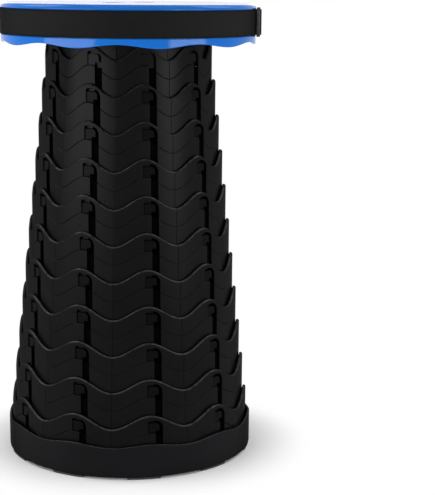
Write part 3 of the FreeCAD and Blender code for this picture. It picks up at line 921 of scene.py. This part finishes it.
def thicken(made, kept, vertex, open_at):
    """Gives flat faces an outer and an inner side, and walls where the depth changes or the figure ends.

    kept holds each face with its outer and inner depth, and open_at says where no wall is wanted.
    """
    sides = {}
    for face, outer, inner in kept:
        made.faces.append([vertex(i, outer) for i in face])
        made.faces.append([vertex(i, inner) for i in reversed(face)])
        for a, b in zip(face, face[1:] + face[:1]):
            sides.setdefault(frozenset((a, b)), []).append((outer, inner))
    for (a, b), found in sides.items():
        walls = []
        if len(found) == 2:
            (first_out, first_in), (second_out, second_in) = found
            apart = first_in <= second_out or second_in <= first_out
            walls = found if apart else [(first_out, second_out), (first_in, second_in)]
        elif not open_at(a, b):
            walls = found
        for out, back in walls:
            if out != back:
                made.faces.append([vertex(a, out), vertex(b, out), vertex(b, back), vertex(a, back)])


def add_upper_edge(made, sizes, columns, edge_drop, place):
    """The upper edge: a small slope with rounded sides, and the wall's thickness behind it."""
    profile = rounded_path([
        (edge_drop, 0, 0), (sizes.slope, 0, sizes.slope_round), (0, sizes.slope, sizes.slope_round),
        (0, sizes.wall, 0.3 * MM), (edge_drop, sizes.wall, 0),
    ], closed=False, arc_points=3)
    rows = []
    for drop, depth in profile:
        worn = 1.0 if drop < sizes.slope and depth < sizes.slope * 1.3 else 0.0
        rows.append([made.add(place(x, drop, depth), worn) for x in columns])
    for above, below in zip(rows[1:], rows):
        for i in range(len(columns) - 1):
            made.faces.append([below[i], below[i + 1], above[i + 1], above[i]])


def add_peg(made, sizes, peg, shape, outer_crest):
    """The locking peg: a block with a rounded face that stands in the outer sleeve's pocket."""
    foot = outer_crest - peg.foot
    step = foot + peg.step
    top = outer_crest - peg.top
    outline = rounded_path([
        (peg.left, foot, 0.3 * MM), (peg.left, top, peg.corner), (peg.flare, top, peg.arch),
        (peg.flare, step, 0.5 * MM), (peg.right, step, 0.3 * MM), (peg.right, foot, 0.3 * MM),
    ], arc_points=6)
    middle_y = shape.centre + shape.bow
    face_y = middle_y + sizes.gap + sizes.wall - peg.face_drop
    root_y = middle_y - sizes.skin / 2

    def place(x, z, depth):
        return Vector((x, -(face_y - depth), z))

    start = len(made.points)
    plate(made, outline, [], place, 0.0, peg.edge)
    made.wear[start:] = [0.0] * (len(made.points) - start)
    # The peg's face takes part of the painted shade, and its sides take all of it
    made.calm_and_painted_shade[start:] = [peg.shade] * (len(made.points) - start)
    stem = [Vector((min(p.x, peg.right), p.y)) for p in outline]
    front, back, root, behind = [
        [made.add(place(p.x, p.y, depth), 0.0, 1.0) for p in path]
        for path, depth in ((outline, peg.edge), (outline, peg.lip), (stem, face_y - root_y), (stem, peg.lip))
    ]
    made.faces.append(back)
    made.wall(front, back)
    made.wall(behind, root)


class STOOL_OT_sleeves(Operator):
    """Makes the eleven sleeves, each a ring of ten panels with slots and pegs"""
    bl_idname = "stool.sleeves"
    bl_label = "Sleeves"

    def execute(self, context):
        sizes = context.scene.stool_sleeve
        peg_sizes = context.scene.stool_peg
        for name in sleeve_names:
            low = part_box(name)[0].z
            lowest = name == sleeve_names[-1]
            patch = sleeve_patch(name, sizes, peg_sizes, radii[name], crests[name], low, not lowest)
            mesh = ring_of(name + "_wall", patch, sizes.panels, sizes.azimuth, "sleeve_plastic")
            body = "base" if lowest else name.replace("sleeve", "tier")
            show(name + "_wall", mesh, body, "sleeve_plastic", [name])
        paint("seat_neck", "sleeve_plastic")
        return {"FINISHED"}


class STOOL_OT_base(Operator):
    """Makes the base's wall with its waved rim and finishes the plate, the pads and the screws"""
    bl_idname = "stool.base"
    bl_label = "Base"

    def execute(self, context):
        sizes = context.scene.stool_base
        sleeve = context.scene.stool_sleeve
        inner_r = base_r - sizes.wall
        plate_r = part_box("base_plate")[1].x
        lip_r = plate_r - sizes.lip_width
        rebate_r = plate_r + 0.3 * MM
        ledge = base_low + 2.6 * MM
        rim_band, foot_band = 3 * MM, 5 * MM

        def profile(angle):
            phase = sleeve.panels * (angle - sleeve.azimuth)
            rim = base_rim - sizes.rim_wave * (1 - math.cos(phase)) / 2
            return rounded_path([
                (inner_r, rim, sizes.rim_round), (base_r, rim, sizes.rim_round), (base_r, rim - rim_band, 0),
                (base_r, base_low + foot_band, 0), (base_r, base_low, sizes.foot_round),
                (lip_r, base_low, 0.3 * MM), (lip_r, plate_low, 0.2 * MM), (rebate_r, plate_low, 0),
                (rebate_r, ledge, 0.2 * MM), (inner_r, ledge, 0),
            ], arc_points=4)

        # The section's points at the crown of the rim, in its first two arcs of five points
        crown = range(2, 8)
        mesh = lathe("base_wall", profile, BASE_STEPS, worn=crown)
        show("base_wall", mesh, "base", "base_plastic", ["base_ring"])
        paint("base_plate", "base_plastic")
        paint("base_feet", "foot_rubber")
        paint("base_screws", "screw_steel")
        return {"FINISHED"}


class STOOL_OT_seat(Operator):
    """Makes the blue seat with its groove, skirt and ribs, and the round cap with its finger holes"""
    bl_idname = "stool.seat"
    bl_label = "Seat"

    def execute(self, context):
        sizes = context.scene.stool_seat
        strap = context.scene.stool_strap
        groove_r = seat_r + strap.proud - strap.thickness
        groove = (strap_low - 0.3 * MM, strap_high + 0.3 * MM)
        skirt_inner = seat_r - sizes.skirt_wall
        under = seat_top_z - sizes.plate
        gap_r = sizes.cap_r + sizes.cap_gap
        hole_r = gap_r - sizes.cap_ledge
        inset = 2 * MM
        panels = context.scene.stool_sleeve.panels

        def profile(angle):
            phase = panels * (angle - sizes.skirt_azimuth)
            hem = seat_low + sizes.skirt_wave * (1 - math.cos(phase)) / 2
            return rounded_path([
                (gap_r, seat_top_z, 0.35 * MM), (gap_r + inset, seat_top_z, 0),
                (seat_r - sizes.edge - inset, seat_top_z, 0), (seat_r, seat_top_z, sizes.edge),
                (seat_r, groove[1], sizes.lip), (groove_r, groove[1], 0.1 * MM),
                (groove_r, groove[0], 0.1 * MM), (seat_r, groove[0], sizes.lip),
                (seat_r, hem, sizes.lip), (skirt_inner, hem, sizes.lip), (skirt_inner, under, 0.6 * MM),
                (hole_r, under, 0.3 * MM), (hole_r, seat_top_z - sizes.cap_t, 0.2 * MM),
                (gap_r, seat_top_z - sizes.cap_t, 0.2 * MM),
            ], arc_points=10)

        # The section's points at the joint's upper edge, the last in an arc of eleven, and the flat top's two
        joint_edge, flat_top = range(5, 11), range(11, 13)
        mesh = lathe("seat_shell", profile, SEAT_STEPS, worn=joint_edge, calm_and_painted_shade=flat_top)
        show("seat_shell", mesh, "seat", "seat_plastic", ["seat_top"])
        self.ribs(context, skirt_inner, under)
        self.cap(sizes)
        return {"FINISHED"}

    def ribs(self, context, skirt_inner, under):
        """Ribs below the plate, each a bar with rounded lower edges, sunk a little into what it meets."""
        sizes = context.scene.stool_seat
        sunk = 1 * MM
        sleeve = context.scene.stool_sleeve
        made = Lattice()
        half = sizes.rib_t / 2
        inner = radii["sleeve_01"] - tier_pitch + sleeve.gap
        section = rounded_path([
            (-half, under + sunk, 0), (half, under + sunk, 0), (half, under - sizes.rib_h, 0.5 * MM),
            (-half, under - sizes.rib_h, 0.5 * MM),
        ], arc_points=3)
        ends = [[made.add((p.x, -reach, p.y)) for p in section] for reach in (inner, skirt_inner + sunk)]
        made.faces += [ends[0], ends[1][::-1]]
        made.wall(ends[1], ends[0])
        mesh = ring_of("seat_ribs", made.mesh("rib"), sleeve.panels, sleeve.azimuth, "seat_plastic")
        show("seat_ribs", mesh, "seat", "seat_plastic")

    def cap(self, sizes):
        """The round cap: a flat top with a rounded rim and two finger holes that end in closed cups."""
        made = Lattice()
        middles = [opening_middle(n).xy for n in ("finger_hole_outer", "finger_hole_inner")]
        rim_z = seat_top_z - sizes.hole_edge
        low_z = seat_top_z - sizes.cap_t
        cup_low = seat_top_z - sizes.hole_depth
        outer_low = cup_low - sizes.cup_wall
        cup_r = sizes.hole_r + sizes.cup_wall
        sharp = 0.02 * MM

        def circle(radius, middle=(0, 0), points=CAP_STEPS):
            x, y = middle
            turns = [FULL_TURN * k / points for k in range(points)]
            return [Vector((x + radius * math.cos(t), y + radius * math.sin(t))) for t in turns]

        def place(x, y, depth):
            return Vector((x, y, seat_top_z - depth))

        holes = [circle(sizes.hole_r, m, HOLE_STEPS) for m in middles]
        plate(made, circle(sizes.cap_r), holes, place, 0.0, sizes.hole_edge)
        made.calm_and_painted_shade = [1.0 - worn for worn in made.wear]
        inner = rounded_path([
            (sizes.hole_r, rim_z, 0), (sizes.hole_r, cup_low, 2.0 * MM), (SPOT_R, cup_low, 0),
        ], closed=False)
        outer = rounded_path([
            (SPOT_R, outer_low, 0), (cup_r, outer_low, 1.0 * MM), (cup_r, low_z, 0),
        ], closed=False)
        for m in middles:
            for wall, end in ((inner, -1), (outer, 0)):
                rings = [[made.add((p.x, p.y, z)) for p in circle(r, m, HOLE_STEPS)] for r, z in wall]
                for above, below in zip(rings, rings[1:]):
                    made.wall(above, below)
                made.faces.append(rings[end])
        above, below = [[made.add((p.x, p.y, z)) for p in circle(sizes.cap_r)] for z in (rim_z, low_z)]
        made.wall(above, below)
        cups = [circle(cup_r, m, HOLE_STEPS) for m in middles]
        plate(made, circle(sizes.cap_r), cups, place, sizes.cap_t, sharp)
        mesh = made.mesh("seat_cap_shell", merge=0.005 * MM)
        smoothed(mesh)
        show("seat_cap_shell", mesh, "seat", "seat_plastic", ["seat_cap"])


def sweep(name, path, thickness, width, mid_z, round_r):
    """Webbing on edge along a level path, with its length and height in the UV map."""
    arc_points, rows_high = 3, 8
    section = rounded_path([
        (-thickness / 2, -width / 2, round_r), (thickness / 2, -width / 2, round_r),
        (thickness / 2, width / 2, round_r), (-thickness / 2, width / 2, round_r),
    ], arc_points=arc_points)
    straight = width - 2 * round_r
    heights = [-width / 2 + round_r + straight * k / rows_high for k in range(1, rows_high)]
    side = [Vector((thickness / 2, height)) for height in heights]
    half = 2 * (arc_points + 1)
    section = section[:half] + side + section[half:] + [Vector((-p.x, p.y)) for p in reversed(side)]
    count = len(section)
    points, faces, lengths = [], [], []
    travelled = 0.0
    for k, here in enumerate(path):
        back = path[max(0, k - 1)]
        ahead = path[min(len(path) - 1, k + 1)]
        along = (ahead - back).normalized()
        across = Vector((along.y, -along.x))
        travelled += (here - path[k - 1]).length if k else 0.0
        lengths.append(travelled)
        for p in section:
            spot = here + across * p.x
            points.append((spot.x, spot.y, mid_z + p.y))
    for k in range(len(path) - 1):
        for i in range(count):
            j = (i + 1) % count
            faces.append((k * count + i, k * count + j, (k + 1) * count + j, (k + 1) * count + i))
    faces.append(tuple(reversed(range(count))))
    faces.append(tuple(range((len(path) - 1) * count, len(path) * count)))
    data = bpy.data.meshes.new(name)
    data.from_pydata(points, [], faces)
    layer = data.uv_layers.new(name="UVMap")
    for loop in data.loops:
        k, i = divmod(loop.vertex_index, count)
        layer.data[loop.index].uv = (lengths[k], section[i].y)
    smoothed(cleaned(data), 50)
    return data


class STOOL_OT_strap(Operator):
    """Makes the webbing round the rim with its carrying loop, and finishes the strap's end over the slider's bar
    """
    bl_idname = "stool.strap"
    bl_label = "Strap"

    def execute(self, context):
        sizes = context.scene.stool_strap
        mid_r = seat_r + sizes.proud - sizes.thickness / 2
        mid_z = (strap_low + strap_high) / 2
        width = strap_high - strap_low
        foot = math.asin(sizes.foot_span / 2 / mid_r)
        outward = hinge_at.xy.normalized()
        loop_points = frame["nodes"]["strap_handle"].data.vertices
        top = max(v.co.xy.dot(outward) for v in loop_points) - sizes.thickness / 2
        start = Vector((mid_r * math.sin(foot), -mid_r * math.cos(foot)))
        bend = start + Vector((-math.cos(foot), -math.sin(foot))) * sizes.foot_r
        leg = (bend.y + top) / math.cos(sizes.lean)
        corner = bend + Vector((-math.sin(sizes.lean), -math.cos(sizes.lean))) * leg
        right = [start, bend, corner]
        route = [(p.x, p.y, r) for p, r in zip(right, (0, sizes.foot_r, sizes.corner_r))]
        route += [(-x, y, r) for x, y, r in reversed(route)]
        loop = rounded_path(route, closed=False, arc_points=8)
        band = [at(mid_r, foot + (FULL_TURN - 2 * foot) * k / RIM_STEPS).xy for k in range(1, RIM_STEPS)]
        spacing = 2.5 * MM
        dense = []
        for a, b in zip(loop, loop[1:]):
            parts = max(1, round((b - a).length / spacing))
            dense += [a.lerp(b, k / parts) for k in range(parts)]
        belt = dense + [loop[-1]] + [Vector((-p.x, p.y)) for p in band] + [loop[0]]
        path = [Matrix.Rotation(handle_azimuth, 2) @ p for p in belt]
        mesh = sweep("webbing_strap", path, sizes.thickness, width, mid_z, 0.5 * MM)
        strap = show("webbing_strap", mesh, None, "webbing")
        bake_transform(strap)
        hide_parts("strap_band", "strap_handle")
        paint("strap_tail", "webbing")
        return {"FINISHED"}


class STOOL_OT_slider(Operator):
    """Makes the slider: a frame round the webbing, with a middle bar between two slots"""
    bl_idname = "stool.slider"
    bl_label = "Slider"

    def execute(self, context):
        sizes = context.scene.stool_strap
        made = Lattice()
        mid_z = (strap_low + strap_high) / 2
        outward = at(1, sizes.buckle_azimuth)
        along = at(1, sizes.buckle_azimuth + math.pi / 2)
        reach = max(v.co.dot(outward) for v in frame["nodes"]["strap_buckle"].data.vertices)
        front, behind = 0.48 * MM, 0.3 * MM

        def place(x, z, depth):
            return outward * (reach - depth) + along * x + Vector((0, 0, mid_z + z))

        half_l, half_h = sizes.buckle_length / 2, sizes.buckle_height / 2
        outline = rounded_path([(x, z, sizes.buckle_corner) for x, z in (
            (-half_l, -half_h), (half_l, -half_h), (half_l, half_h), (-half_l, half_h))])
        holes = []
        slot_h = half_h - sizes.buckle_side
        for side in (-1, 1):
            near = sizes.buckle_bar / 2
            low, high = sorted((side * near, side * (near + sizes.buckle_slot)))
            holes.append(rounded_path([(x, z, 0.6 * MM) for x, z in (
                (low, -slot_h), (high, -slot_h), (high, slot_h), (low, slot_h))], arc_points=3))
        plate(made, outline, holes, place, 0.0, front)

        def back(x, z, depth):
            return place(x, z, sizes.buckle_t - depth)

        plate(made, outline, holes, back, 0.0, behind)
        depths = (front, sizes.buckle_t - behind)
        for path in [outline] + holes:
            made.wall(*[[made.add(place(p.x, p.y, depth)) for p in path] for depth in depths])
        mesh = made.mesh("slider", merge=0.005 * MM)
        smoothed(mesh)
        show("slider", mesh, "seat", "buckle_plastic", ["strap_buckle"])
        paint("seat_screws", "screw_steel")
        return {"FINISHED"}


def rays_that_see(tree):
    """1 on the rays that see the white background: those of the camera, of gloss and through glass."""
    path = tree.nodes.new("ShaderNodeLightPath").outputs
    seen = path["Is Camera Ray"]
    for ray in ("Is Glossy Ray", "Is Transmission Ray"):
        seen = add_node(tree, "ShaderNodeMath", ((0, seen), (1, path[ray])), operation="MAXIMUM")
    return seen


class STOOL_OT_stage(Operator):
    """Sets up the pale floor, the soft lamps, the white background and the camera"""
    bl_idname = "stool.stage"
    bl_label = "Stage"

    def execute(self, context):
        scene = context.scene
        scene.view_settings.view_transform = "Standard"
        self.floor()
        self.lamps()
        self.background()
        self.camera(scene.stool_stage)
        return {"FINISHED"}

    def floor(self):
        """The pale floor, which fades to the white background round the stool."""
        reach = 6.0
        fade_from, fade_to = 0.115, 0.19
        data = bpy.data.meshes.new("floor")
        corners = [(x * reach, y * reach, 0) for x, y in ((-1, -1), (1, -1), (1, 1), (-1, 1))]
        data.from_pydata(corners, [], [(0, 1, 2, 3)])
        finish = Finish("floor_paper")
        seen = Value(finish, rays_that_see(finish.tree))
        away = finish.node("ShaderNodeVectorMath", ((0, finish.place()),), output="Value", operation="LENGTH")
        fade = finish.step(away, fade_from, fade_to) * seen
        paper = finish.shader(Base_Color=(0.9, 0.9, 0.9, 1), Roughness=0.85)
        white = finish.node("ShaderNodeEmission", (("Color", (1, 1, 1, 1)), ("Strength", 1.0)))
        data.materials.append(finish.two_surfaces(fade, paper, white))
        piece = placed("floor", data)

    def lamps(self):
        """Soft boxes round the stool: angle from the front, distance, height, size and power."""
        middle_z = 0.24
        aim = Vector((0, 0, middle_z))
        for name, azimuth, away, height, size, power in (
            ("left_box", -52, 1.2, 0.32, (1.05, 0.42), 10),
            ("right_box", 51, 1.2, 0.32, (0.72, 0.42), 7.5),
            ("left_wall", -100, 1.2, 1.5, (0.9, 0.9), 13),
            ("right_wall", 100, 1.2, 1.5, (0.9, 0.9), 10),
            ("top_box", 10, 0.35, 1.7, (1.4, 1.4), 6),
            ("rear_box", 180, 1.6, 1.0, (1.4, 0.9), 5),
        ):
            spot = at(away, math.radians(azimuth), height)
            lamp = bpy.data.lights.new(name, "AREA")
            lamp.shape = "RECTANGLE"
            lamp.size, lamp.size_y = size
            lamp.energy = power
            holder = placed(name, lamp)
            holder.location = spot
            holder.rotation_euler = (aim - spot).to_track_quat("-Z", "Y").to_euler()

    def background(self):
        """White where it is seen, and a faint fill on everything else."""
        fill = 0.08
        world = bpy.data.worlds.new("studio")
        world.use_nodes = True
        tree = world.node_tree
        tree.nodes.clear()
        faint, white = [
            add_node(tree, "ShaderNodeBackground", (("Color", (1, 1, 1, 1)), ("Strength", strength)))
            for strength in (fill, 1.0)]
        both = add_node(tree, "ShaderNodeMixShader", ((0, rays_that_see(tree)), (1, faint), (2, white)))
        out = tree.nodes.new("ShaderNodeOutputWorld")
        tree.links.new(both, out.inputs["Surface"])
        bpy.context.scene.world = world

    def camera(self, sizes):
        """The camera at the photograph's place, turned by yaw, tilt and roll."""
        lens = bpy.data.cameras.new("camera")
        lens.lens = sizes.lens
        lens.sensor_width = 36
        lens.sensor_fit = "AUTO"
        flat = math.cos(sizes.down)
        ahead = Vector((math.sin(sizes.yaw) * flat, math.cos(sizes.yaw) * flat, -math.sin(sizes.down)))
        level = Vector((math.cos(sizes.yaw), -math.sin(sizes.yaw), 0))
        upward = level.cross(ahead)
        right = level * math.cos(sizes.roll) + upward * math.sin(sizes.roll)
        up = upward * math.cos(sizes.roll) - level * math.sin(sizes.roll)
        place = Matrix.Identity(4)
        for column, axis in enumerate((right, up, -ahead, Vector((0, -sizes.distance, sizes.height)))):
            for row in range(3):
                place[row][column] = axis[row]
        holder = placed("camera", lens)
        holder.matrix_world = place
        bpy.context.scene.camera = holder


class STOOL_PT_panel(Panel):
    """The stool's pieces and their sizes"""
    bl_idname = "STOOL_PT_panel"
    bl_label = "Telescopic stool"
    bl_space_type = "VIEW_3D"
    bl_region_type = "UI"
    bl_category = "Stool"

    def draw(self, context):
        for operator in OPERATORS:
            self.layout.operator(operator.bl_idname)
        for name in GROUPS:
            box = self.layout.box()
            sizes = getattr(context.scene, name)
            for key in sizes.__annotations__:
                box.prop(sizes, key)


OPERATORS = (STOOL_OT_sleeves, STOOL_OT_base, STOOL_OT_seat, STOOL_OT_strap, STOOL_OT_slider, STOOL_OT_stage)
GROUPS = {
    "stool_sleeve": SleeveSizes, "stool_peg": PegSizes, "stool_seat": SeatSizes, "stool_base": BaseSizes,
    "stool_strap": StrapSizes, "stool_colours": StoolColours, "stool_stage": StageSizes,
}


def register():
    for group in GROUPS.values():
        bpy.utils.register_class(group)
    for name, group in GROUPS.items():
        setattr(bpy.types.Scene, name, PointerProperty(type=group))
    for kind in OPERATORS + (STOOL_PT_panel,):
        bpy.utils.register_class(kind)


def unregister():
    for kind in reversed(OPERATORS + (STOOL_PT_panel,)):
        bpy.utils.unregister_class(kind)
    for name, group in GROUPS.items():
        delattr(bpy.types.Scene, name)
        bpy.utils.unregister_class(group)


def main():
    register()
    for step in (bpy.ops.stool.sleeves, bpy.ops.stool.base, bpy.ops.stool.seat, bpy.ops.stool.strap,
                 bpy.ops.stool.slider, bpy.ops.stool.stage):
        step()


if __name__ == "__main__":
    main()
